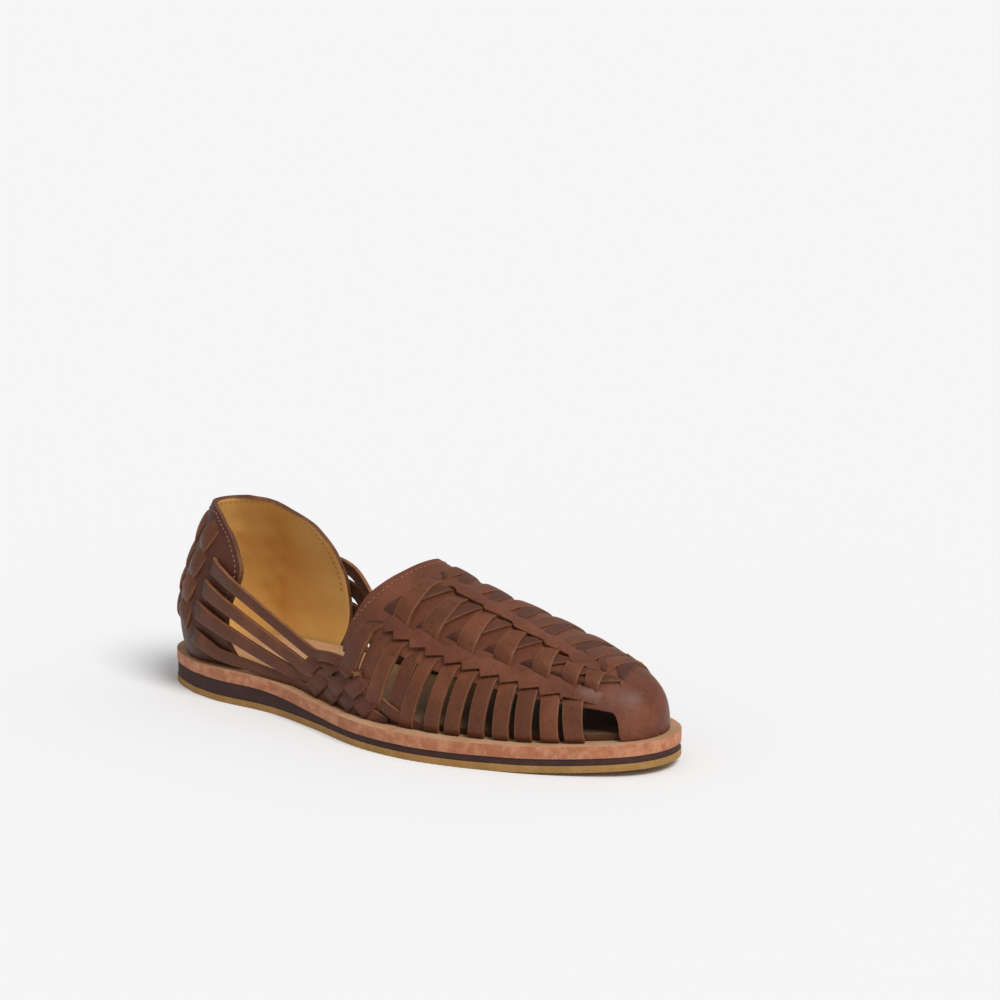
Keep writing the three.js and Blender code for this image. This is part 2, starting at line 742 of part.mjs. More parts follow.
function asMesh(name, solid) {
  const { vertProperties, triVerts } = solid.getMesh();
  const geometry = new THREE.BufferGeometry();
  geometry.setAttribute('position', new THREE.BufferAttribute(vertProperties, 3));
  geometry.setIndex(new THREE.BufferAttribute(triVerts, 1));
  geometry.computeVertexNormals();
  const mesh = new THREE.Mesh(geometry, new THREE.MeshStandardMaterial(finishes[name]));
  mesh.name = name;
  return mesh;
}

const shoe = new THREE.Group();
shoe.add(
  asMesh('outsole', outsole),
  asMesh('midsole', midsole),
  asMesh('leather_board', leatherBoard),
  asMesh('insole', insole),
  asMesh('heel_counter', heelCounter),
  asMesh('upper', upper),
);

export default shoe;
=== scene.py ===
import bisect
import math

import bpy
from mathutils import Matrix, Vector


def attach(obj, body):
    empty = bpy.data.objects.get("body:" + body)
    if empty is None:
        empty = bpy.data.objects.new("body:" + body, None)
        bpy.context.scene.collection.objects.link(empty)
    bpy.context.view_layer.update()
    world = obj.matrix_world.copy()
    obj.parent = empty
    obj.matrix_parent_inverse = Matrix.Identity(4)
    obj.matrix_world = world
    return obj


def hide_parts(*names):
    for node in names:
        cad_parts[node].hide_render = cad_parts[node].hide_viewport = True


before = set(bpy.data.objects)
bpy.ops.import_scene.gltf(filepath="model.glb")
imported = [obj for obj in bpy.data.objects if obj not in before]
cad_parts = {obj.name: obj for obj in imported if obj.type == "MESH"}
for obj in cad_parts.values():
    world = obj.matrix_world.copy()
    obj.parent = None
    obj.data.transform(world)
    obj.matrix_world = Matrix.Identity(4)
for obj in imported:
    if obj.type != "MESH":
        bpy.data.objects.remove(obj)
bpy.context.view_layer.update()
print("frame loaded")

mm = 0.001
outer, inner = -1, 1

# Sizes of the sole and of the last, in millimetres, as in the solids
sole = {
    "length": 255, "width": 93, "heelSwing": 1.6, "toeSwing": 6.9, "toeSpring": 3.3,
    "springStart": 0.7, "springRun": 0.3, "wedgeStart": 0.225, "wedgeRun": 0.278,
    "gum": 2.8, "wedgeHeel": 6.3, "wedgeToe": 2.5, "board": 4.6, "gap": 0.3,
    "heelRound": 0.12, "toeRound": 0.2, "roundPower": 2.2,
    "along": [0, 0.08, 0.12, 0.18, 0.3, 0.42, 0.54, 0.64, 0.72, 0.8, 0.88, 0.94, 1],
    "outer": [0.235, 0.27, 0.303, 0.338, 0.346, 0.425, 0.526, 0.546, 0.51, 0.445, 0.38, 0.346, 0.344],
    "inner": [0.247, 0.28, 0.31, 0.328, 0.311, 0.269, 0.281, 0.361, 0.432, 0.431, 0.387, 0.359, 0.355],
}
last = {
    "heelWelt": 6.3, "toeWelt": 4.7, "outerWelt": 7, "innerWelt": 4, "instep": 62,
    "outerFullness": 2, "innerFullness": 2.6, "tipStart": 0.9, "tipRun": 0.1, "tipPower": 2.6,
    "clear": 0.1, "probe": 0.4, "probeAngle": 0.01, "tipGuard": 0.8, "footGuard": 0.98,
    "along": [0.38, 0.486, 0.557, 0.643, 0.706, 0.765, 0.816, 0.863, 0.91, 0.94, 0.965, 1],
    "height": [1.04, 0.987, 0.881, 0.745, 0.661, 0.584, 0.519, 0.455, 0.408, 0.387, 0.397, 0.403],
}


def clamp(value, low, high):
    return max(low, min(high, value))


def mix(start, end, share):
    return start + (end - start) * share


def ease(share):
    share = clamp(share, 0, 1)
    return share * share * (3 - 2 * share)


def follow(along, column, share):
    # a smooth curve through the values of a column, each given at its own share
    end = len(along) - 1
    share = clamp(share, along[0], along[end])
    i = clamp(bisect.bisect_right(along, share) - 1, 0, end - 1)

    def slope(k):
        before, after = max(k - 1, 0), min(k + 1, end)
        return (column[after] - column[before]) / (along[after] - along[before])

    span = along[i + 1] - along[i]
    s = (share - along[i]) / span
    first = (2 * s**3 - 3 * s**2 + 1) * column[i] + (s**3 - 2 * s**2 + s) * span * slope(i)
    return first + (3 * s**2 - 2 * s**3) * column[i + 1] + (s**3 - s**2) * span * slope(i + 1)


def sampled(rule, count=3000):
    # reads a slow rule once and looks it up from then on
    values = [rule(i / count) for i in range(count + 1)]

    def read(share):
        place = clamp(share, 0, 1) * count
        i = min(int(place), count - 1)
        return mix(values[i], values[i + 1], place - i)

    return read


def endRound(share):
    # 1 along the sole, falling to 0 in a round curve at the heel and at the toe
    if share < 0.5:
        reach = max(0, sole["heelRound"] - share) / sole["heelRound"]
    else:
        reach = max(0, share - (1 - sole["toeRound"])) / sole["toeRound"]
    return math.sqrt(max(0, 1 - reach ** sole["roundPower"]))


def shareAt(x):
    return x / sole["length"] + 0.5


def placeAt(share):
    return (share - 0.5) * sole["length"]


halfOf = {
    outer: sampled(lambda t: follow(sole["along"], sole["outer"], t) * sole["width"] * endRound(t)),
    inner: sampled(lambda t: follow(sole["along"], sole["inner"], t) * sole["width"] * endRound(t)),
}


def centreLine(share):
    return mix(sole["heelSwing"], sole["toeSwing"], share)


def floorLift(share):
    return sole["toeSpring"] * (max(0, share - sole["springStart"]) / sole["springRun"]) ** 2


def gumTop(share):
    return floorLift(share) + sole["gum"]


def wedgeTop(share):
    thin = ease((share - sole["wedgeStart"]) / sole["wedgeRun"])
    thick = mix(sole["wedgeHeel"], sole["wedgeToe"], thin)
    return gumTop(share) + sole["gap"] + thick


def boardTop(share):
    return wedgeTop(share) + sole["gap"] + sole["board"]


def upperBottom(share):
    return boardTop(share) + sole["gap"]


lastHeel = -sole["length"] / 2 + last["heelWelt"]
lastToe = sole["length"] / 2 - last["toeWelt"]
keepOf = {
    outer: 1 - last["outerWelt"] / (max(sole["outer"]) * sole["width"]),
    inner: 1 - last["innerWelt"] / (max(sole["inner"]) * sole["width"]),
}


def lastShare(x):
    return clamp((x - lastHeel) / (lastToe - lastHeel), 0, 1)


def crownRule(share):
    reach = max(0, lastShare(placeAt(share)) - last["tipStart"]) / last["tipRun"]
    tip = math.sqrt(max(0, 1 - reach ** last["tipPower"]))
    return follow(last["along"], last["height"], share) * last["instep"] * tip


crownHeight = sampled(crownRule)


def lastPoint(x, angle):
    # angle is -1 on the outer foot line, 0 on the crown and 1 on the inner foot line
    side = outer if angle < 0 else inner
    power = last["outerFullness"] if side == outer else last["innerFullness"]
    rise = max(0, math.cos(abs(angle) * math.pi / 2)) ** (2 / last["outerFullness"])
    half = halfOf[side](lastShare(x)) * keepOf[side]
    y = centreLine(lastShare(x)) + side * half * (1 - rise**power) ** (1 / power)
    return Vector((x, y, upperBottom(shareAt(x)) + crownHeight(shareAt(x)) * rise))


def lastNormal(x, angle):
    # outward, read a little inside the tip and the foot lines, where it stays steady
    step, turn = last["probe"], last["probeAngle"]
    x = min(x, lastToe - last["tipGuard"])
    a = clamp(angle, -last["footGuard"], last["footGuard"])
    forward = lastPoint(x + step, a) - lastPoint(x - step, a)
    return forward.cross(lastPoint(x, a + turn) - lastPoint(x, a - turn)).normalized()


def offLast(x, angle, lift):
    point = lastPoint(x, angle) + lastNormal(x, angle) * lift
    point.z = max(point.z, boardTop(shareAt(x)) + last["clear"])
    return point


# Colours and finishes


def fromScreen(red, green, blue):
    # a screen colour of 0 to 255 as the linear colour that a shader takes
    levels = []
    for value in (red, green, blue):
        value /= 255
        levels.append(value / 12.92 if value < 0.04045 else ((value + 0.055) / 1.055) ** 2.4)
    return (*levels, 1)


def newGroup(name, inputs, outputs):
    group = bpy.data.node_groups.new(name, "ShaderNodeTree")
    for label, kind, value in inputs:
        socket = group.interface.new_socket(name=label, in_out="INPUT", socket_type=kind)
        if value is not None:
            socket.default_value = value
    for label, kind in outputs:
        group.interface.new_socket(name=label, in_out="OUTPUT", socket_type=kind)
    return group, group.nodes.new("NodeGroupInput"), group.nodes.new("NodeGroupOutput")


def addNoise(tree, vector, scale, detail=3, roughness=0.55):
    noise = tree.nodes.new("ShaderNodeTexNoise")
    noise.inputs["Scale"].default_value = scale
    noise.inputs["Detail"].default_value = detail
    noise.inputs["Roughness"].default_value = roughness
    tree.links.new(vector, noise.inputs["Vector"])
    return noise.outputs["Fac"]


def addRange(tree, value, low, high, toLow=0, toHigh=1):
    node = tree.nodes.new("ShaderNodeMapRange")
    node.interpolation_type = "SMOOTHSTEP"
    for label, number in (("From Min", low), ("From Max", high), ("To Min", toLow), ("To Max", toHigh)):
        node.inputs[label].default_value = number
    tree.links.new(value, node.inputs["Value"])
    return node.outputs["Result"]


def addMath(tree, operation, first, second):
    node = tree.nodes.new("ShaderNodeMath")
    node.operation = operation
    for i, value in enumerate((first, second)):
        if isinstance(value, (int, float)):
            node.inputs[i].default_value = value
        else:
            tree.links.new(value, node.inputs[i])
    return node.outputs[0]


def addMix(tree, factor, first, second):
    node = tree.nodes.new("ShaderNodeMix")
    node.data_type = "RGBA"
    for i, value in ((0, factor), (6, first), (7, second)):
        if isinstance(value, (int, float, tuple)):
            node.inputs[i].default_value = value
        else:
            tree.links.new(value, node.inputs[i])
    return node.outputs[2]


hide = {
    "cloudStart": 0.42, "cloudEnd": 0.68, "fleckScale": 700, "fleckShade": 0.35, "shineSpread": 0.1,
    "poreScale": 1500, "poreHeight": 0.6, "creaseScale": 190, "creaseHeight": 4,
    "fineScale": 2600, "fineHeight": 0.4, "partShade": 0.3,
}


def makeLeatherGrain():
    # waxed leather: broad clouds, small flecks, creases and a fine pebble
    group, given, result = newGroup(
        "leatherGrain",
        [
            ("Vector", "NodeSocketVector", None), ("Base", "NodeSocketColor", None),
            ("Light", "NodeSocketColor", None), ("Dark", "NodeSocketColor", None),
            ("Cloud Scale", "NodeSocketFloat", 55), ("Roughness", "NodeSocketFloat", 0.45),
        ],
        [("Color", "NodeSocketColor"), ("Roughness", "NodeSocketFloat"), ("Height", "NodeSocketFloat")],
    )
    vector = given.outputs["Vector"]
    cloud = group.nodes.new("ShaderNodeTexNoise")
    cloud.inputs["Detail"].default_value = 4
    group.links.new(vector, cloud.inputs["Vector"])
    group.links.new(given.outputs["Cloud Scale"], cloud.inputs["Scale"])
    clouds = cloud.outputs["Fac"]
    flecks = addNoise(group, vector, hide["fleckScale"], 2)
    pores = group.nodes.new("ShaderNodeTexVoronoi")
    pores.inputs["Scale"].default_value = hide["poreScale"]
    group.links.new(vector, pores.inputs["Vector"])
    lighter = addRange(group, clouds, hide["cloudStart"], hide["cloudEnd"])
    colour = addMix(group, lighter, given.outputs["Base"], given.outputs["Light"])
    darker = addMath(group, "MULTIPLY", addRange(group, flecks, 0.5, 0.75), hide["fleckShade"])
    colour = addMix(group, darker, colour, given.outputs["Dark"])
    group.links.new(colour, result.inputs["Color"])
    shine = addMath(group, "MULTIPLY", addRange(group, clouds, 0.3, 0.7), hide["shineSpread"])
    group.links.new(addMath(group, "ADD", given.outputs["Roughness"], shine), result.inputs["Roughness"])
    pebble = addMath(group, "MULTIPLY", pores.outputs["Distance"], hide["poreHeight"])
    creases = addNoise(group, vector, hide["creaseScale"], 2)
    pebble = addMath(group, "ADD", pebble, addMath(group, "MULTIPLY", creases, hide["creaseHeight"]))
    fine = addMath(group, "MULTIPLY", addNoise(group, vector, hide["fineScale"], 2), hide["fineHeight"])
    group.links.new(addMath(group, "ADD", pebble, fine), result.inputs["Height"])
    return group


def makeStripEdge():
    # how near a point is to the long edges of its strip, and to its two ends
    group, given, result = newGroup(
        "stripEdge", [("UV", "NodeSocketVector", None)],
        [("Sides", "NodeSocketFloat"), ("Ends", "NodeSocketFloat")],
    )
    split = group.nodes.new("ShaderNodeSeparateXYZ")
    group.links.new(given.outputs["UV"], split.inputs[0])
    for axis, label, low in (("Y", "Sides", 0.8), ("X", "Ends", 0.82)):
        away = addMath(group, "ABSOLUTE", addMath(group, "SUBTRACT", split.outputs[axis], 0.5), 0)
        near = addRange(group, addMath(group, "MULTIPLY", away, 2), low, 1.0)
        group.links.new(near, result.inputs[label])
    return group


leatherGrain = makeLeatherGrain()
stripEdge = makeStripEdge()


def newMaterial(name, roughness, specular=0.26):
    material = bpy.data.materials.new(name)
    material.use_nodes = True
    shader = material.node_tree.nodes["Principled BSDF"]
    shader.inputs["Roughness"].default_value = roughness
    shader.inputs["Specular IOR Level"].default_value = specular
    return material, material.node_tree, shader


def addBump(tree, shader, height, distance, strength=0.5):
    bump = tree.nodes.new("ShaderNodeBump")
    bump.inputs["Distance"].default_value = distance * mm
    bump.inputs["Strength"].default_value = strength
    tree.links.new(height, bump.inputs["Height"])
    tree.links.new(bump.outputs["Normal"], shader.inputs["Normal"])


def leatherMaterial(name, base, light, dark, roughness, cloudScale=55, strips=None, pebble=0.12):
    material, tree, shader = newMaterial(name, roughness)
    where = tree.nodes.new("ShaderNodeTexCoord")
    grain = tree.nodes.new("ShaderNodeGroup")
    grain.node_tree = leatherGrain
    tree.links.new(where.outputs["Object"], grain.inputs["Vector"])
    for label, colour in (("Base", base), ("Light", light), ("Dark", dark)):
        grain.inputs[label].default_value = fromScreen(*colour)
    grain.inputs["Cloud Scale"].default_value = cloudScale
    grain.inputs["Roughness"].default_value = roughness
    colour = grain.outputs["Color"]
    if strips:
        # every strip is cut from another part of the hide
        part = tree.nodes.new("ShaderNodeNewGeometry").outputs["Random Per Island"]
        deeper = addMath(tree, "MULTIPLY", part, hide["partShade"])
        colour = addMix(tree, deeper, colour, fromScreen(*dark))
        edge = tree.nodes.new("ShaderNodeGroup")
        edge.node_tree = stripEdge
        tree.links.new(where.outputs["UV"], edge.inputs["UV"])
        # painted shade: each strip darkens towards its ends, where it dips into a slot or under a band
        ends = addMath(tree, "MULTIPLY", edge.outputs["Ends"], strips["paintedEndShade"])
        colour = addMix(tree, ends, colour, fromScreen(*dark))
        sides = addMath(tree, "MULTIPLY", edge.outputs["Sides"], strips["sideWear"])
        colour = addMix(tree, sides, colour, fromScreen(*strips["worn"]))
    tree.links.new(colour, shader.inputs["Base Color"])
    tree.links.new(grain.outputs["Roughness"], shader.inputs["Roughness"])
    addBump(tree, shader, grain.outputs["Height"], pebble)
    return material


raw = {"specular": 0.25, "broadScale": 0.12, "speckShade": 0.6}


def rawMaterial(name, base, light, dark, roughness, scale, bump):
    # cut leather, rubber and felted surfaces: speckles over a plain ground
    material, tree, shader = newMaterial(name, roughness, raw["specular"])
    where = tree.nodes.new("ShaderNodeTexCoord").outputs["Object"]
    speck = addNoise(tree, where, scale, 4, 0.65)
    broad = addNoise(tree, where, scale * raw["broadScale"], 2)
    colour = addMix(tree, addRange(tree, broad, 0.35, 0.7), fromScreen(*base), fromScreen(*light))
    specks = addMath(tree, "MULTIPLY", addRange(tree, speck, 0.5, 0.72), raw["speckShade"])
    colour = addMix(tree, specks, colour, fromScreen(*dark))
    tree.links.new(colour, shader.inputs["Base Color"])
    addBump(tree, shader, speck, bump)
    return material


stripLook = {"worn": (138, 92, 64), "sideWear": 0.4, "paintedEndShade": 0.7}
tuckLook = {"worn": (128, 84, 58), "sideWear": 0.35, "paintedEndShade": 0.3}
turnLook = {"worn": (120, 76, 54), "sideWear": 0.25, "paintedEndShade": 0.95}
upperBrown = leatherMaterial("upperBrown", (100, 55, 37), (116, 67, 46), (56, 28, 18), 0.42, pebble=0.06)
stripBrown = leatherMaterial("stripBrown", (102, 57, 36), (118, 68, 43), (46, 21, 12), 0.42, 70, stripLook)
tuckBrown = leatherMaterial("tuckBrown", (84, 45, 30), (98, 55, 37), (46, 22, 14), 0.45, 70, tuckLook)
turnBrown = leatherMaterial("turnBrown", (92, 48, 34), (106, 58, 42), (34, 15, 9), 0.42, 70, turnLook)
counterBrown = leatherMaterial("counterBrown", (76, 40, 27), (86, 47, 32), (48, 23, 15), 0.45)
fleshSide = rawMaterial("fleshSide", (80, 50, 32), (96, 62, 40), (52, 30, 18), 0.85, 900, 0.2)
cutEdge = rawMaterial("cutEdge", (116, 73, 47), (138, 92, 60), (70, 38, 24), 0.8, 1400, 0.15)
rimBrown = rawMaterial("rimBrown", (90, 54, 34), (118, 76, 48), (56, 30, 18), 0.7, 1200, 0.15)
liningTan = leatherMaterial(
    "liningTan", (214, 166, 92), (222, 176, 104), (204, 154, 80), 0.5, cloudScale=30, pebble=0.04,
)
footbedTan = leatherMaterial(
    "footbedTan", (184, 142, 104), (194, 154, 116), (168, 126, 88), 0.55, cloudScale=35, pebble=0.05,
)
boardFace = rawMaterial("boardFace", (178, 134, 100), (192, 150, 116), (152, 106, 76), 0.7, 700, 0.08)
boardRim = rawMaterial("boardRim", (172, 108, 76), (198, 138, 104), (116, 62, 38), 0.65, 1700, 0.3)
wedgeDark = rawMaterial("wedgeDark", (62, 40, 36), (70, 46, 42), (46, 28, 26), 0.75, 900, 0.08)
gumSole = rawMaterial("gumSole", (154, 114, 62), (166, 126, 72), (130, 92, 46), 0.6, 900, 0.08)
thread = rawMaterial("thread", (146, 102, 72), (164, 118, 86), (104, 68, 46), 0.7, 2500, 0.05)


def paintShadeTowardToe(material, start, end, colour, strength):
    # painted shade: the bed darkens under the vamp, standing in for the shadow the upper casts there
    tree = material.node_tree
    split = tree.nodes.new("ShaderNodeSeparateXYZ")
    tree.links.new(tree.nodes.new("ShaderNodeTexCoord").outputs["Object"], split.inputs[0])
    target = tree.nodes["Principled BSDF"].inputs["Base Color"]
    plain = target.links[0].from_socket
    amount = addRange(tree, split.outputs["X"], start * mm, end * mm, 0, strength)
    tree.links.new(addMix(tree, amount, plain, fromScreen(*colour)), target)


paintShadeTowardToe(footbedTan, start=-5, end=55, colour=(70, 46, 32), strength=0.8)
print("finishes made")


# Shared ways of working a piece

weldReach = 0.02

def onlyPick(*pieces):
    bpy.ops.object.select_all(action="DESELECT")
    for piece in pieces:
        piece.select_set(True)
    bpy.context.view_layer.objects.active = pieces[0]


def applyModifier(piece, name, kind, **settings):
    onlyPick(piece)
    modifier = piece.modifiers.new(name, kind)
    for label, value in settings.items():
        setattr(modifier, label, value)
    bpy.ops.object.modifier_apply(modifier=modifier.name)


def newSheet(name, along, across, place, facing):
    # a flat cut of leather, laid over the surface that the rule gives
    bpy.ops.object.select_all(action="DESELECT")
    bpy.ops.mesh.primitive_grid_add(x_subdivisions=along, y_subdivisions=across, size=1)
    piece = bpy.context.object
    piece.name = name
    for vertex in piece.data.vertices:
        vertex.co = place(vertex.co.x + 0.5, vertex.co.y + 0.5) * mm
    piece.data.update()
    turned = sum(face.normal.dot(facing) * face.area for face in piece.data.polygons)
    if turned < 0:
        piece.data.flip_normals()
    return piece


def weld(piece):
    # joins the points where a sheet narrows to nothing
    onlyPick(piece)
    bpy.ops.object.mode_set(mode="EDIT")
    bpy.ops.mesh.select_all(action="SELECT")
    bpy.ops.mesh.remove_doubles(threshold=weldReach * mm)
    bpy.ops.object.mode_set(mode="OBJECT")


def joinAs(name, pieces):
    onlyPick(*pieces)
    if len(pieces) > 1:
        bpy.ops.object.join()
    piece = bpy.context.object
    piece.name = name
    return piece


def thicken(piece, depth, edge, materials, sharp=45, even=False):
    # materials are the face, the cut edge and the back
    for material in materials:
        piece.data.materials.append(material)
    applyModifier(
        piece, "wall", "SOLIDIFY", thickness=depth * mm, offset=-1, use_even_offset=even,
        material_offset_rim=1, material_offset=len(materials) - 1,
    )
    applyModifier(
        piece, "soft edges", "BEVEL", width=edge * mm, segments=2, limit_method="ANGLE",
        angle_limit=math.radians(sharp), use_clamp_overlap=True,
    )
    onlyPick(piece)
    bpy.ops.object.shade_smooth_by_angle(angle=math.radians(sharp))


def standFor(piece, node):
    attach(piece, "root")
    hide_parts(node)


# Sole layers: a sheet in the outline, thickened, then set to its levels

tread = {"depth": 0.22, "start": 0.04, "fade": 0.08}


def soleLayer(name, low, high, inset, bevel, materials, teeth=0):
    steps = 240

    def place(u, v):
        share = (1 - math.cos(math.pi * u)) / 2
        fade = ease((min(u, 1 - u) - tread["start"]) / tread["fade"])
        notch = teeth * (round(u * steps) % 2) * fade
        narrow = 1 - (inset + notch) / (sole["width"] / 2)
        reach = mix(-halfOf[outer](share), halfOf[inner](share), v) * narrow
        length = 1 - (inset + notch) / (sole["length"] / 2)
        return Vector((placeAt(share) * length, centreLine(share) + reach, 0))

    piece = newSheet(name, steps, 6, place, Vector((0, 0, 1)))
    weld(piece)
    for material in materials:
        piece.data.materials.append(material)
    applyModifier(
        piece, "layer", "SOLIDIFY", thickness=mm, offset=-1, material_offset_rim=len(materials) - 1,
    )
    for vertex in piece.data.vertices:
        rule = high if vertex.co.z > -0.5 * mm else low
        vertex.co.z = rule(shareAt(vertex.co.x / mm)) * mm
    applyModifier(
        piece, "edge", "BEVEL", width=bevel * mm, segments=3, limit_method="ANGLE",
        angle_limit=math.radians(60),
    )
    onlyPick(piece)
    bpy.ops.object.shade_smooth_by_angle(angle=math.radians(40))
    return piece


outsole = soleLayer(
    "gum_outsole", floorLift, gumTop, inset=0, bevel=0.35, materials=[gumSole], teeth=tread["depth"],
)
standFor(outsole, "outsole")
wedge = soleLayer("dark_wedge", gumTop, wedgeTop, inset=0.35, bevel=0.25, materials=[wedgeDark])
standFor(wedge, "midsole")
board = soleLayer("welt_board", wedgeTop, boardTop, inset=0, bevel=0.7, materials=[boardFace, boardRim])
standFor(board, "leather_board")
print("sole made")


# Heel counter

counter = {
    "height": 66, "width": 56.6, "depth": 26, "wing": 50, "flare": 0.14, "wall": 2.4, "centre": 2.4,
    "rise": [0, 0.106, 0.212, 0.364, 0.485, 0.591, 0.667, 0.758, 0.841, 0.924, 0.977, 1],
    "lean": [0.029, 0.009, 0, 0.006, 0.03, 0.061, 0.088, 0.118, 0.145, 0.174, 0.194, 0.203],
    "around": [0.919, 0.972, 1, 0.989, 0.961, 0.912, 0.862, 0.799, 0.735, 0.664, 0.615, 0.594],
    "outerWing": [1, 0.9, 0.86, 0.87, 0.93, 0.985, 0.98, 0.9, 0.8, 0.65, 0.53, 0.4],
    "innerWing": [1.2, 1.25, 1.27, 1.25, 1.22, 1.17, 1.13, 1.05, 0.95, 0.75, 0.58, 0.4],
    "slotSwell": 0.6, "swellReach": 5.5, "behindSlot": 2.5, "edge": 0.45,
}
straps = {
    "slotAlong": [0.149, 0.138, 0.122, 0.118], "slotRise": [0.658, 0.509, 0.358, 0.179],
    "outerWingAlong": [0.215, 0.203, 0.198, 0.183], "innerWingAlong": [0.272, 0.274, 0.279, 0.281],
    "outerWingRise": [0.55, 0.41, 0.255, 0.08], "innerWingRise": [0.514, 0.383, 0.239, 0.07],
    "midRise": [0.4, 0.26, 0.145, 0.06], "innerSag": 3.4,
    "entryAlong": [0.395, 0.378, 0.362, 0.34], "entryAngle": [0.835, 0.905, 0.95, 0.985],
    "footAlong": [0.655, 0.585, 0.52, 0.455], "thick": 1.8, "edge": 0.32, "off": 0.6, "dip": 2,
    "rise": [0.045, 0.015, 0, 0], "riseEnd": 0.6, "rimHeight": 2.7, "rimRamp": 0.1, "rimEnd": 0.33,
    "rimFall": 0.12, "slotWidth": [6.2, 6.8, 7.4, 6.6], "entryWidth": [4.6, 5.2, 5.2, 4.4],
    "freeSteps": 26, "widthSteps": 22, "sinkSteps": 3, "startSink": 1.3, "slotLift": 0.9, "entryLift": 1.0,
    "wovenSteps": 36, "base": 0.8, "footSink": 0.8, "footRamp": 0.08, "crown": 0.2, "clear": 0.2,
}
diamonds = {
    "turns": [0, 0.385, -0.385, 0.77, -0.77], "firstRise": [0.345, 0.325, 0.325, 0.3, 0.3],
    "pitch": 0.168, "rows": 4, "width": 8.8, "tipWidth": 0.78, "height": 12.4, "lift": 2.2,
    "fullness": 0.6, "sink": 0.6, "crown": 0.3, "lean": 0.38, "skew": 1.6, "thick": 1.5, "edge": 0.3,
}


def cupLevel(rise):
    def at(label):
        return follow(counter["rise"], counter[label], rise)

    return {
        "back": lastHeel + at("lean") * counter["height"], "half": at("around") * counter["width"] / 2,
        "flare": counter["flare"] * rise, "z": upperBottom(0.1) + rise * counter["height"],
        outer: lastHeel + counter["wing"] * at("outerWing"),
        inner: lastHeel + counter["wing"] * at("innerWing"),
    }


def cupAt(rise, x, side, lift=0):
    # a round back that runs on into two straight wings
    level = cupLevel(rise)
    cosine = clamp(1 - (x - level["back"]) / counter["depth"], 0, 1)
    sine = math.sqrt(1 - cosine * cosine)
    straight = max(0, x - level["back"] - counter["depth"])
    y = counter["centre"] + side * (level["half"] * sine + level["flare"] * straight)
    away = Vector((-cosine * level["half"], side * sine * counter["depth"], 0)).normalized()
    return Vector((max(x, level["back"]), y, level["z"])) + away * lift


def cupOut(rise, x, side):
    return (cupAt(rise, x, side, 1) - cupAt(rise, x, side, 0)).normalized()


def cupTurn(rise, turn, lift=0):
    # on the round back, where turn is 0 in the middle and 1 at either end
    level = cupLevel(rise)
    angle = turn * math.pi / 2
    away = Vector((-math.cos(angle) * level["half"], math.sin(angle) * counter["depth"], 0)).normalized()
    return Vector((
        level["back"] + counter["depth"] * (1 - math.cos(angle)),
        counter["centre"] + level["half"] * math.sin(angle), level["z"],
    )) + away * lift


slotPoints = [
    cupAt(straps["slotRise"][i], placeAt(straps["slotAlong"][i]) - counter["behindSlot"], side)
    for i in range(4) for side in (outer, inner)
]
for column, turn in enumerate(diamonds["turns"]):
    for row in range(diamonds["rows"]):
        slotPoints.append(cupTurn(diamonds["firstRise"][column] + row * diamonds["pitch"], turn))


def counterPlace(u, v):
    across = 2 * u - 1
    side = outer if across < 0 else inner
    level = cupLevel(v)
    depth = counter["depth"]
    reach = level[side] - level["back"]
    quarter = math.acos(clamp(1 - reach / depth, 0, 1))
    travel = abs(across) * (quarter * depth + max(0, reach - depth))
    turn = min(travel / depth, quarter)
    x = level["back"] + depth * (1 - math.cos(turn)) + max(0, travel - turn * depth)
    point = cupAt(v, x, side)
    near = min((point - slot).length for slot in slotPoints)
    swell = counter["slotSwell"] * math.exp(-((near / counter["swellReach"]) ** 2))
    return cupAt(v, x, side, swell)


cup = newSheet("heel_cup", 120, 56, counterPlace, Vector((-1, 0, 0)))
thicken(cup, counter["wall"], counter["edge"], [counterBrown, rimBrown, liningTan], even=True)
standFor(cup, "heel_counter")


def diamondSheet(rise, turn):
    lean = 0 if turn == 0 else -math.copysign(diamonds["lean"], turn)

    def place(u, v):
        up = (u - 0.5) * diamonds["height"]
        bulge = math.sin(math.pi * clamp(u, 0, 1))
        wide = (v - 0.5) * diamonds["width"] * mix(diamonds["tipWidth"], 1, bulge)
        lift = diamonds["lift"] * bulge ** diamonds["fullness"] - diamonds["sink"]
        lift += diamonds["crown"] * math.sin(math.pi * v)
        around = turn + (wide - lean * up) / (counter["depth"] * math.pi / 2)
        higher = (up + lean * wide * diamonds["skew"]) / counter["height"]
        return cupTurn(rise + higher, around, lift)

    return newSheet("diamond", 10, 5, place, cupTurn(rise, turn, 1) - cupTurn(rise, turn, 0))


scales = joinAs("heel_diamonds", [
    diamondSheet(diamonds["firstRise"][column] + row * diamonds["pitch"], turn)
    for column, turn in enumerate(diamonds["turns"]) for row in range(diamonds["rows"])
])
thicken(scales, diamonds["thick"], diamonds["edge"], [stripBrown, cutEdge])
standFor(scales, "heel_counter")
print("heel counter made")


# Vamp plate and its lengthwise bands

vamp = {
    "wall": 1.9, "slotLine": 0.58, "skirt": 0.07, "throatStart": 117.5, "throatDepth": 18,
    "throatReach": 0.64, "throatPower": 1.9, "cornerLean": 34, "windowEnd": 242, "windowCorner": 4,
    "rearReach": 0.12, "rearFade": 14, "edge": 0.45, "toeGap": 0.03, "spacing": 1.12,
}
bands = {
    "start": 0.585, "end": 0.9, "width": 6, "lift": 2.2, "wall": 2.4, "aboveSlots": 0.05, "notch": 2.8,
    "along": [0.585, 0.69, 0.745, 0.816, 0.87, 0.91], "shift": [0.09, 0.09, 0.11, 0.135, 0.185, 0.2],
    "sideBack": 0.05, "sideOn": 0.025, "flapNotch": 0.8, "ridgeNotch": 0.6, "peak": 0.82, "drop": 0.18,
    "inward": 0.55, "slotLead": 0.013, "flapLead": 0.016, "ridgeLead": 0.01, "startRamp": 14,
    "endRamp": 8, "endSink": -0.3, "flat": 0.86, "crown": 0.14, "edge": 0.5,
}
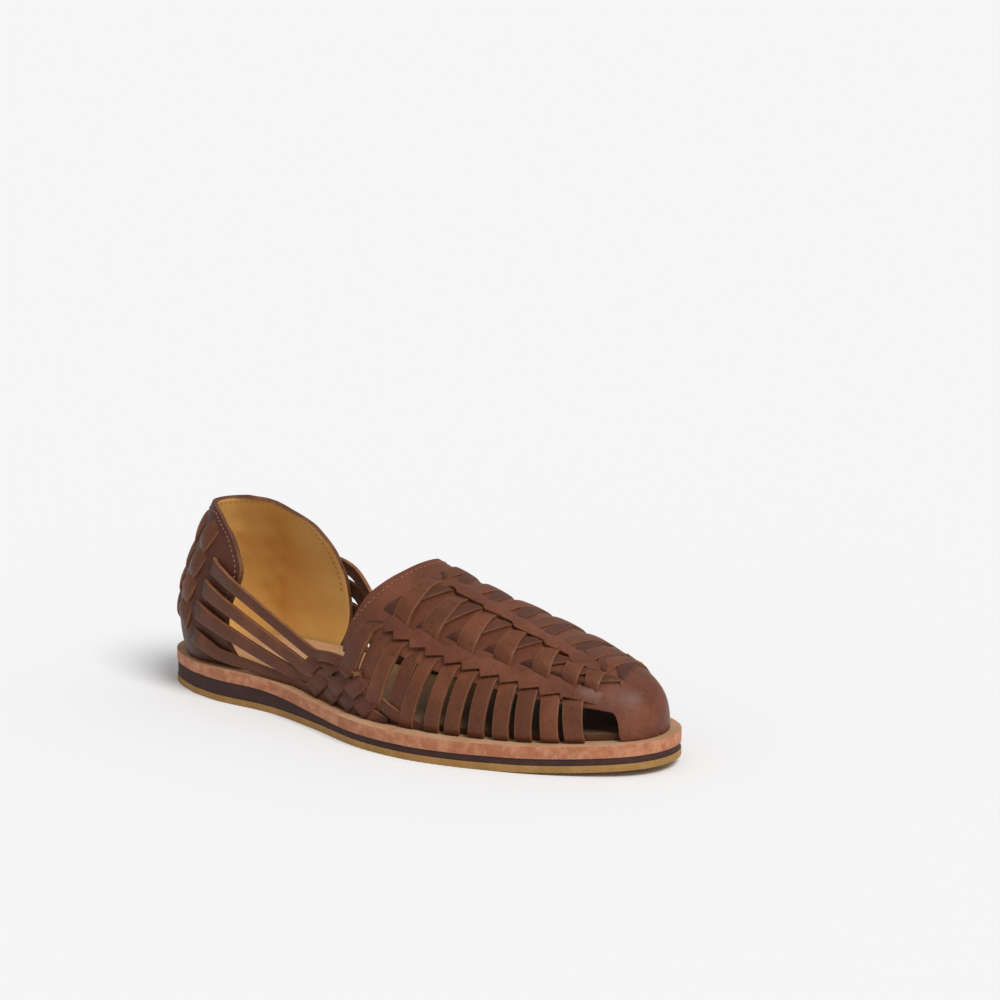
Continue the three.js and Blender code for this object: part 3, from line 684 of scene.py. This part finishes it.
fingers = {
    "slot": [0.522, 0.557, 0.587, 0.62, 0.651, 0.686, 0.717, 0.748, 0.78, 0.812, 0.845, 0.877],
    "foot": [0.469, 0.512, 0.549, 0.594, 0.624, 0.671, 0.706, 0.746, 0.785, 0.82, 0.859, 0.893],
    "width": [10.4, 9.8, 7.4, 7.2, 6.9, 6.6, 6.5, 6.5, 6.5, 6.5, 6.5, 6.8],
    "footWidth": [10.4, 9, 8.4, 7.4, 6.6, 6.3, 6.3, 6.3, 6.3, 6.3, 6.3, 6.6],
    "lift": 1.25, "thick": 1.7, "edge": 0.32, "slant": 0.034, "hook": 2.2, "bow": 0.85, "woven": 5,
    "underBand": 0.035, "topRamp": 0.17, "topSink": -0.2, "footRamp": 0.1, "footSink": 0.8,
    "hookEnd": 0.22, "widening": 1.3,
}
flaps = {
    "topAlong": [0.574, 0.629, 0.683, 0.743, 0.805, 0.853, 0.889],
    "topWidth": [5, 5, 5.4, 5.4, 5.4, 6.6, 6.4],
    "footAlong": [0.569, 0.626, 0.691, 0.753, 0.817, 0.862, 0.897],
    "footAngle": [0.49, 0.48, 0.45, 0.43, 0.43, 0.42, 0.44],
    "footWidth": [8, 8.4, 8.4, 8.2, 7.6, 6.6, 5.6],
    "outerLift": 2.5, "innerLift": 1.0, "endLift": 0.3, "ramp": 0.3, "start": 0.02, "past": 0.04,
    "widening": 1.15, "topSlant": 0.03, "footSlant": -0.025, "thick": 1.6, "edge": 0.3,
}
tucks = {
    "topAlong": [0.607, 0.665, 0.723, 0.781, 0.849, 0.893, 0.925],
    "footAlong": [0.545, 0.614, 0.669, 0.733, 0.794, 0.84, 0.878],
    "outerLift": 1.5, "innerLift": 0.7, "endLift": 0.1, "ramp": 0.12, "topShare": 0.6,
    "widening": 0.35, "short": 0.01, "thick": 1.6, "edge": 0.3,
}
fingerCount, strapCount, flapCount = (
    len(column) for column in (fingers["slot"], straps["slotAlong"], flaps["topAlong"])
)
bothSides = (outer, inner)
nameOf = {outer: "outer", inner: "inner"}


def throatLine(angle):
    up = 1 - min(1, abs(angle) / vamp["throatReach"]) ** vamp["throatPower"]
    corner = vamp["cornerLean"] * max(0, abs(angle) - vamp["throatReach"])
    return vamp["throatStart"] - sole["length"] / 2 + vamp["throatDepth"] * up + corner


def plateReach(x):
    along = x + sole["length"] / 2
    rear = clamp(1 - (along - vamp["throatStart"]) / vamp["rearFade"], 0, 1)
    base = vamp["slotLine"] + vamp["skirt"] + vamp["rearReach"] * rear
    corner = clamp((along - vamp["windowEnd"] + vamp["windowCorner"]) / vamp["windowCorner"], 0, 1)
    return base + (1 - base) * (1 - math.sqrt(1 - corner * corner))


def platePlace(u, v):
    across = 2 * v - 1
    start = throatLine(across * plateReach(throatLine(across)))
    x = start + (lastToe - vamp["toeGap"] - start) * math.sin(u * math.pi / 2) ** vamp["spacing"]
    return offLast(x, across * plateReach(x), 0)


plate = newSheet("vamp_plate", 130, 90, platePlace, Vector((0, 0, 1)))
thicken(plate, vamp["wall"], vamp["edge"], [upperBrown, cutEdge, fleshSide])
standFor(plate, "upper")


def angleStep(x, angle):
    # angle share that spans one millimetre
    turn = last["probeAngle"]
    return 2 * turn / (lastPoint(x, angle + turn) - lastPoint(x, angle - turn)).length


def sawtooth(places, x):
    # 0 at the rear corner of a strip, rising to 1 at the rear corner of the next one
    spots = [placeAt(place) for place in places]
    for start, end in zip(spots, spots[1:]):
        if start <= x < end:
            return (x - start) / (end - start)
    return 0.5


def bandSheet(angleAt, start, end, width, lowNotch, highNotch, lift):
    # the edges step in at each slot and creep out again up to the next
    def place(u, v):
        x = placeAt(mix(start, end, u))
        angle = angleAt(shareAt(x))
        notch = mix(lowNotch(x), highNotch(x), v)
        side = 1 if v > 0.5 else -1
        wide = (v - 0.5) * width - side * abs(v - 0.5) * 2 * notch
        ends = min(1, u * bands["startRamp"], (1 - u) * bands["endRamp"])
        crown = lift * (bands["flat"] + bands["crown"] * math.sin(math.pi * v))
        return offLast(x, angle + wide * angleStep(x, angle), mix(bands["endSink"], crown, ease(ends)))

    middle = mix(start, end, 0.5)
    return newSheet("band", 260, 8, place, lastNormal(placeAt(middle), angleAt(middle)))


def slotNotch(places, deep):
    # the edge climbs over each strip, then drops in a point just before the next one
    def notch(x):
        climb = sawtooth(places, x)
        out = climb / bands["peak"] if climb < bands["peak"] else (1 - climb) / bands["drop"]
        return deep * out - deep * bands["inward"]

    return notch


def sideBand(side):
    line = side * (vamp["slotLine"] - bands["aboveSlots"])
    down = slotNotch([place - bands["slotLead"] for place in fingers["slot"]], bands["notch"])
    up = slotNotch(
        [place - bands["flapLead"] for place in flaps["footAlong"]], bands["notch"] * bands["flapNotch"],
    )
    low, high = (down, up) if side == outer else (up, down)
    return bandSheet(
        lambda s: line, bands["start"] - bands["sideBack"], bands["end"] + bands["sideOn"],
        bands["width"], low, high, bands["lift"],
    )


def ridgeShift(share):
    # the middle band lies to the outer side of the crown
    return follow(bands["along"], bands["shift"], share)


middleNotch = slotNotch(
    [place - bands["ridgeLead"] for place in flaps["topAlong"]], bands["notch"] * bands["ridgeNotch"],
)
lengthwise = joinAs("vamp_bands", [
    bandSheet(
        lambda s: -ridgeShift(s), bands["start"], bands["end"], bands["width"], middleNotch, middleNotch,
        bands["lift"],
    ),
    sideBand(outer), sideBand(inner),
])
thicken(lengthwise, bands["wall"], bands["edge"], [upperBrown, rimBrown])
standFor(lengthwise, "upper")


stripCrown = 0.18


def stripSheet(name, side, pathAt, steps=24):
    # pathAt gives x, angle, width, lift and slant at a share of the strip's length
    def place(u, v):
        x, angle, width, lift, slant = pathAt(u)
        crown = stripCrown * math.sin(math.pi * v)
        return offLast(x + (v - 0.5) * width, side * (angle + (0.5 - v) * 2 * slant), lift + crown)

    x, angle = pathAt(0.5)[:2]
    return newSheet(name, steps, 6, place, lastNormal(x, side * angle))


def flapTop(along, side):
    return flaps["start"] - side * ridgeShift(along)


def flapSheet(i, side):
    top = flapTop(flaps["topAlong"][i], side)

    def pathAt(u):
        bulge = ease(u / flaps["ramp"]) * ease((1 - u) / flaps["ramp"])
        return (
            placeAt(mix(flaps["topAlong"][i], flaps["footAlong"][i], u)),
            mix(top, flaps["footAngle"][i] + flaps["past"], u),
            mix(flaps["topWidth"][i], flaps["footWidth"][i], ease(u * flaps["widening"])),
            mix(flaps["endLift"], flaps[nameOf[side] + "Lift"], bulge),
            mix(flaps["topSlant"], flaps["footSlant"], u),
        )

    return stripSheet("flap", side, pathAt)


def tuckSheet(i, side):
    top = flapTop(tucks["topAlong"][i], side)

    def pathAt(u):
        bulge = ease(u / tucks["ramp"]) * ease((1 - u) / tucks["ramp"])
        width = mix(flaps["topWidth"][i], flaps["footWidth"][i], u)
        width *= mix(tucks["topShare"], 1, ease(u / tucks["widening"]))
        return (
            placeAt(mix(tucks["topAlong"][i], tucks["footAlong"][i], u)),
            mix(top, flaps["footAngle"][i] - tucks["short"], u), width,
            mix(tucks["endLift"], tucks[nameOf[side] + "Lift"], bulge), 0,
        )

    return stripSheet("tuck", side, pathAt)


overFlaps = joinAs("vamp_flaps", [flapSheet(i, side) for i in range(flapCount) for side in bothSides])
thicken(overFlaps, flaps["thick"], flaps["edge"], [stripBrown, cutEdge])
standFor(overFlaps, "upper")
underTucks = joinAs("vamp_tucks", [tuckSheet(i, side) for i in range(flapCount) for side in bothSides])
thicken(underTucks, tucks["thick"], tucks["edge"], [tuckBrown, cutEdge])
standFor(underTucks, "upper")
print("vamp made")


# Fingers, the tight weave behind them and the heel straps

weave = {"lift": 0.7, "base": 0.6}
slotAngle = vamp["slotLine"] - fingers["underBand"]
runs = [
    {
        "top": fingers["slot"][i], "topAngle": slotAngle, "foot": fingers["foot"][i],
        "width": fingers["width"][i], "footWidth": fingers["footWidth"][i],
    }
    for i in range(fingerCount)
]
wovenRuns = fingers["woven"]


def runAlong(run, share):
    return mix(run["top"], run["foot"], max(0, share) ** fingers["bow"])


def strapAlong(i, share):
    return mix(straps["entryAlong"][i], straps["footAlong"][i], share)


def strapAngle(i, share):
    rise = straps["rise"][i] * math.sin(math.pi * clamp(share / straps["riseEnd"], 0, 1))
    return mix(straps["entryAngle"][i], 1, max(0, share) ** straps["dip"]) - rise


halvings = 30


def meeting(run, i):
    # where a finger crosses a strap, as a share of the strap and as a share of the finger
    def shareOf(angle):
        return (angle - run["topAngle"]) / (1 - run["topAngle"])

    def gap(share):
        return strapAlong(i, share) - runAlong(run, shareOf(strapAngle(i, share)))

    low, high = 0, 1
    if gap(low) > 0 or gap(high) < 0:
        return None
    for _ in range(halvings):
        middle = (low + high) / 2
        if gap(middle) < 0:
            low = middle
        else:
            high = middle
    return low, shareOf(strapAngle(i, low))


def weaveWave(marks):
    # swings between 1 over a crossing strip and -1 under it
    def wave(share):
        if not marks:
            return 0
        if share <= marks[0][0]:
            return marks[0][1]
        for (start, sign), (end, _) in zip(marks, marks[1:]):
            if share <= end:
                return sign * math.cos(math.pi * (share - start) / (end - start))
        return marks[-1][1]

    return wave


meetings = {(r, i): meeting(runs[r], i) for r in range(wovenRuns) for i in range(strapCount)}


def over(r, i):
    return 1 if (r + i) % 2 == 0 else -1


def runSheet(r, side):
    run = runs[r]
    crossings = [i for i in range(strapCount) if r < wovenRuns and meetings[r, i]]
    marks = sorted((meetings[r, i][1], over(r, i)) for i in crossings)
    wave = weaveWave(marks)

    def pathAt(u):
        start, end = ease(u / fingers["topRamp"]), ease((1 - u) / fingers["footRamp"])
        full = weave["base"] + weave["lift"] * wave(u) if marks else fingers["lift"]
        lift = mix(fingers["topSink"], full, start) - fingers["footSink"] * (1 - end)
        slant = fingers["slant"] * (1 - u)
        hook = fingers["hook"] * (1 - ease(u / fingers["hookEnd"]))
        width = mix(run["width"], run["footWidth"], ease(u * fingers["widening"]))
        x = placeAt(runAlong(run, u)) + hook / 2
        return x, mix(run["topAngle"], 1, u), width + hook, lift, slant

    return stripSheet("finger", side, pathAt, 34)


sideFingers = joinAs("side_fingers", [runSheet(r, side) for r in range(fingerCount) for side in bothSides])
thicken(sideFingers, fingers["thick"], fingers["edge"], [stripBrown, cutEdge, fleshSide])
standFor(sideFingers, "upper")

# The tight weave behind the fingers: rows of pointed turns, each row over the one below
turns = {
    "tips": [[102.2, 114.5, 126.2], [107.3, 119.5, 131.3], [104.5, 116.3, 127.5, 138]],
    "tipAngle": [[0.91, 0.885, 0.86], [0.975, 0.96, 0.935], [1, 1, 1, 1]],
    "length": [[0.08, 0.075, 0.06], [0.115] * 3, [0.11] * 4],
    "width": 11, "lean": 3.4, "peak": 0.62, "left": 0.03, "right": 0.042, "topLift": 0.6,
    "tipLift": [2.3, 2.1, 1.9], "climb": 1.1, "crown": 0.8, "crownStart": 0.15, "crownRun": 0.75,
    "thick": 1.5, "edge": 0.3,
}


def turnSheet(row, k, side):
    tip, low = turns["tips"][row][k] - sole["length"] / 2, turns["tipAngle"][row][k]
    peak = turns["peak"]

    def place(u, v):
        if v < peak:
            rise = turns["left"] * (1 - v / peak)
        else:
            rise = turns["right"] * (v - peak) / (1 - peak)
        angle = low - mix(turns["length"][row][k], rise, u)
        x = tip + (v - peak) * turns["width"] + turns["lean"] * (1 - u)
        lift = mix(turns["topLift"], turns["tipLift"][row], ease(u * turns["climb"]))
        along = math.sin(math.pi * (turns["crownStart"] + turns["crownRun"] * u))
        lift += turns["crown"] * math.sin(math.pi * v) * along
        return offLast(x, side * angle, lift)

    return newSheet("turn", 12, 8, place, lastNormal(tip, side * (low - 0.05)))


sideWeave = joinAs("side_weave", [
    turnSheet(row, k, side)
    for row, tips in enumerate(turns["tips"]) for k in range(len(tips)) for side in bothSides
])
thicken(sideWeave, turns["thick"], turns["edge"], [turnBrown, cutEdge])
standFor(sideWeave, "upper")


def curveThrough(points, share):
    place = clamp(share, 0, 1) * (len(points) - 1)
    i = min(int(place), len(points) - 2)
    s = place - i
    before, after = points[max(i - 1, 0)], points[min(i + 2, len(points) - 1)]
    start, end = points[i], points[i + 1]
    slopeIn, slopeOut = (end - before) / 2, (after - start) / 2
    return (
        start * (2 * s**3 - 3 * s**2 + 1) + slopeIn * (s**3 - 2 * s**2 + s)
        + end * (3 * s**2 - 2 * s**3) + slopeOut * (s**3 - s**2)
    )


def strapSheet(i, side):
    # first the free part, from the slot in the counter to the vamp, then the woven part
    slotX, wingX = placeAt(straps["slotAlong"][i]), placeAt(straps[nameOf[side] + "WingAlong"][i])
    slotRise, wingRise = straps["slotRise"][i], straps[nameOf[side] + "WingRise"][i]
    lift = straps["off"] + straps["thick"]
    entryX, entryAngle = placeAt(straps["entryAlong"][i]), side * straps["entryAngle"][i]
    wing = cupAt(wingRise, wingX, side, lift)
    entry = offLast(entryX, entryAngle, straps["entryLift"])
    middle = (wing + entry) / 2
    if side == outer:
        middle.z = min(middle.z, cupLevel(straps["midRise"][i])["z"])
    else:
        middle.z -= straps["innerSag"]
    rear = [
        cupAt(slotRise, slotX, side, lift * straps["slotLift"]),
        cupAt(mix(slotRise, wingRise, 0.5), mix(slotX, wingX, 0.5), side, lift), wing, middle, entry,
    ]
    marks = sorted((meetings[r, i][0], -over(r, i)) for r in range(wovenRuns) if meetings[r, i])
    wave = weaveWave(marks)
    centres, outs = [], []
    for k in range(straps["freeSteps"]):
        share = k / straps["freeSteps"]
        point = curveThrough(rear, share)
        sink = 1 - ease(k / straps["sinkSteps"])
        centres.append(point - cupOut(slotRise, slotX, side) * sink * straps["startSink"])
        if share < 0.5:
            outs.append(cupOut(mix(slotRise, wingRise, share * 2), mix(slotX, wingX, share * 2), side))
        else:
            start = cupOut(wingRise, wingX, side)
            outs.append(start.lerp(lastNormal(entryX, entryAngle), ease(share * 2 - 1)).normalized())
    for k in range(straps["wovenSteps"] + 1):
        share = k / straps["wovenSteps"]
        x, angle = placeAt(strapAlong(i, share)), side * strapAngle(i, share)
        sink = straps["footSink"] * (1 - ease((1 - share) / straps["footRamp"]))
        raised = straps["base"] + weave["lift"] * wave(share) - sink
        if i == 0:
            # the top strap runs along the rim of the weave, over the turns
            onRim = ease(share / straps["rimRamp"]) * ease((straps["rimEnd"] - share) / straps["rimFall"])
            raised = mix(raised, straps["rimHeight"], onRim)
        centres.append(offLast(x, angle, raised))
        outs.append(lastNormal(x, angle))
    count = len(centres)
    for _ in range(2):
        # evens out the bend where the two parts meet
        inside = range(1, count - 1)
        evened = [(centres[k - 1] + centres[k] * 2 + centres[k + 1]) / 4 for k in inside]
        centres = [centres[0]] + evened + [centres[-1]]
        evened = [(outs[k - 1] + outs[k] * 2 + outs[k + 1]).normalized() for k in inside]
        outs = [outs[0]] + evened + [outs[-1]]

    def place(u, v):
        k = clamp(round(u * (count - 1)), 0, count - 1)
        forward = (centres[min(k + 1, count - 1)] - centres[max(k - 1, 0)]).normalized()
        across = outs[k].cross(forward).normalized()
        crown = straps["crown"] * math.sin(math.pi * v)
        width = mix(straps["slotWidth"][i], straps["entryWidth"][i], ease(k / straps["widthSteps"]))
        point = centres[k] + across * (v - 0.5) * width + outs[k] * crown
        point.z = max(point.z, boardTop(shareAt(point.x)) + straps["clear"])
        return point

    return newSheet("strap", count - 1, 6, place, outs[count // 3])


heelStraps = joinAs("heel_straps", [strapSheet(i, side) for i in range(strapCount) for side in bothSides])
thicken(heelStraps, straps["thick"], straps["edge"], [stripBrown, cutEdge, fleshSide])
standFor(heelStraps, "upper")
print("weave made")


# Insole

insole = {"inset": 3.4, "gap": 1.2, "spread": 0.9, "thick": 2.4, "edge": 0.5}


def insolePlace(u, v):
    # as wide as the cup leaves room for behind, and as wide as the upper does in front
    base = cupLevel(0)
    heel = base["back"] + counter["wall"] + insole["gap"]
    share = (1 - math.cos(math.pi * u)) / 2
    x = heel + (lastToe - insole["inset"] - heel) * share
    reach = []
    for side in bothSides:
        across = clamp(1 - (x - base["back"] - counter["wall"]) / counter["depth"], 0, 1)
        cupRoom = (base["half"] - counter["wall"]) * math.sqrt(1 - across * across) - insole["gap"]
        cupRoom += insole["spread"] * max(0, x - base[side])
        room = halfOf[side](share) * keepOf[side] - insole["inset"] * endRound(share)
        inCup, inUpper = side * cupRoom + counter["centre"], centreLine(share) + side * room
        reach.append(max(inCup, inUpper) if side == outer else min(inCup, inUpper))
    return Vector((x, mix(reach[0], reach[1], v), upperBottom(shareAt(x)) + insole["thick"]))


footbed = newSheet("footbed", 120, 8, insolePlace, Vector((0, 0, 1)))
weld(footbed)
# painted shade: the bed's cut edge takes the darker flesh finish so that it stays dark inside the toe
thicken(footbed, insole["thick"], insole["edge"], [footbedTan, fleshSide])
standFor(footbed, "insole")
print("insole made")


# Stitches, one modelled and then copied along each row

stitch = {"length": 1.7, "pitch": 2.4, "radius": 0.24, "proud": 0.08, "steps": 600}
bpy.ops.object.select_all(action="DESELECT")
bpy.ops.mesh.primitive_uv_sphere_add(segments=6, ring_count=4, radius=stitch["radius"] * mm)
oneStitch = bpy.context.object
for vertex in oneStitch.data.vertices:
    vertex.co.x *= stitch["length"] / (2 * stitch["radius"])
oneStitch.data.materials.append(thread)


def stitchRow(name, pointAt, outAt, span):
    # walks the line in small steps and sets a stitch at every pitch
    steps = stitch["steps"]
    line = [pointAt(mix(span[0], span[1], k / steps)) for k in range(steps + 1)]
    copies, travelled, due = [], 0, stitch["pitch"] / 2
    for k in range(1, steps + 1):
        travelled += (line[k] - line[k - 1]).length
        if travelled < due:
            continue
        due += stitch["pitch"]
        share = mix(span[0], span[1], k / steps)
        forward = (line[min(k + 1, steps)] - line[k - 1]).normalized()
        out = outAt(share)
        across = out.cross(forward).normalized()
        out = forward.cross(across)
        copy = oneStitch.copy()
        copy.data = oneStitch.data.copy()
        bpy.context.collection.objects.link(copy)
        middle = line[k] + out * stitch["proud"]
        for vertex in copy.data.vertices:
            local = vertex.co.copy()
            vertex.co = middle * mm + forward * local.x + across * local.y + out * local.z
        copies.append(copy)
    row = joinAs(name, copies)
    onlyPick(row)
    bpy.ops.object.shade_smooth()
    return row


throat = {"inset": 2.6, "narrow": 0.985, "reach": 0.9}


def throatStitch(share):
    a = share * plateReach(throatLine(share))
    return offLast(throatLine(a) + throat["inset"], a * throat["narrow"], 0)


def throatOut(share):
    a = share * plateReach(throatLine(share))
    return lastNormal(throatLine(a) + throat["inset"], a)


throatRow = stitchRow("throat_stitches", throatStitch, throatOut, (-throat["reach"], throat["reach"]))
standFor(throatRow, "upper")


topline = {
    "wingPart": 0.38, "inset": 2.8, "wingDrop": 0.62, "wingTop": 0.955, "backRise": 0.958, "off": 0.05,
}


def toplinePoint(share, lift):
    # runs up one wing, round the back and down the other wing, a little inside the edge
    wingPart, inset = topline["wingPart"], topline["inset"]
    side = outer if share < 0 else inner
    if abs(share) > wingPart:
        rise = 1 - (abs(share) - wingPart) / (1 - wingPart) * topline["wingDrop"]
        rise = min(rise, topline["wingTop"])
        return cupAt(rise, cupLevel(rise)[side] - inset, side, lift)
    rise = topline["backRise"]
    level = cupLevel(rise)
    reach = math.acos(clamp(1 - (level[side] - inset - level["back"]) / counter["depth"], -1, 1))
    turn = abs(share) / wingPart * reach
    return cupAt(rise, level["back"] + counter["depth"] * (1 - math.cos(turn)), side, lift)


def toplineOut(share):
    return (toplinePoint(share, 1) - toplinePoint(share, 0)).normalized()


outsideRow = stitchRow("topline_stitches", lambda s: toplinePoint(s, topline["off"]), toplineOut, (-1, 1))
standFor(outsideRow, "heel_counter")
insideRow = stitchRow(
    "lining_stitches", lambda s: toplinePoint(s, -counter["wall"] - topline["off"]),
    lambda s: -toplineOut(s), (-1, 1),
)
standFor(insideRow, "heel_counter")
bpy.data.objects.remove(oneStitch)
print("stitches made")


# Floor, light and camera

stageLook = {
    "floor": 0.9, "floorSize": 80, "sky": 0.45, "sun": 2.28, "sunSoft": 28, "sunTilt": 38, "sunTurn": 75,
}
bpy.ops.object.select_all(action="DESELECT")
bpy.ops.mesh.primitive_plane_add(size=stageLook["floorSize"])
floor = bpy.context.object
floor.name = "floor"
floorPaint, _, floorShader = newMaterial("floorPaint", 0.9, 0.0)
floorShader.inputs["Base Color"].default_value = (*[stageLook["floor"]] * 3, 1)
floor.data.materials.append(floorPaint)

world = bpy.data.worlds.new("studio")
world.use_nodes = True
world.node_tree.nodes["Background"].inputs["Color"].default_value = (1, 1, 1, 1)
world.node_tree.nodes["Background"].inputs["Strength"].default_value = stageLook["sky"]
bpy.context.scene.world = world

bpy.ops.object.light_add(
    type="SUN", rotation=(math.radians(stageLook["sunTilt"]), 0, math.radians(stageLook["sunTurn"]))
)
sun = bpy.context.object
sun.data.energy = stageLook["sun"]
sun.data.angle = math.radians(stageLook["sunSoft"])

lookFrom = {"place": (0.707427, -0.843336, 0.314761), "down": 11.4, "turn": 38, "lens": 98.64, "sensor": 36}
bpy.ops.object.camera_add(
    location=lookFrom["place"],
    rotation=(math.radians(90 - lookFrom["down"]), 0, math.radians(lookFrom["turn"])),
)
camera = bpy.context.object
camera.data.lens = lookFrom["lens"]
camera.data.sensor_width = lookFrom["sensor"]
bpy.context.scene.camera = camera
bpy.context.scene.view_settings.view_transform = "Standard"
print("stage set")
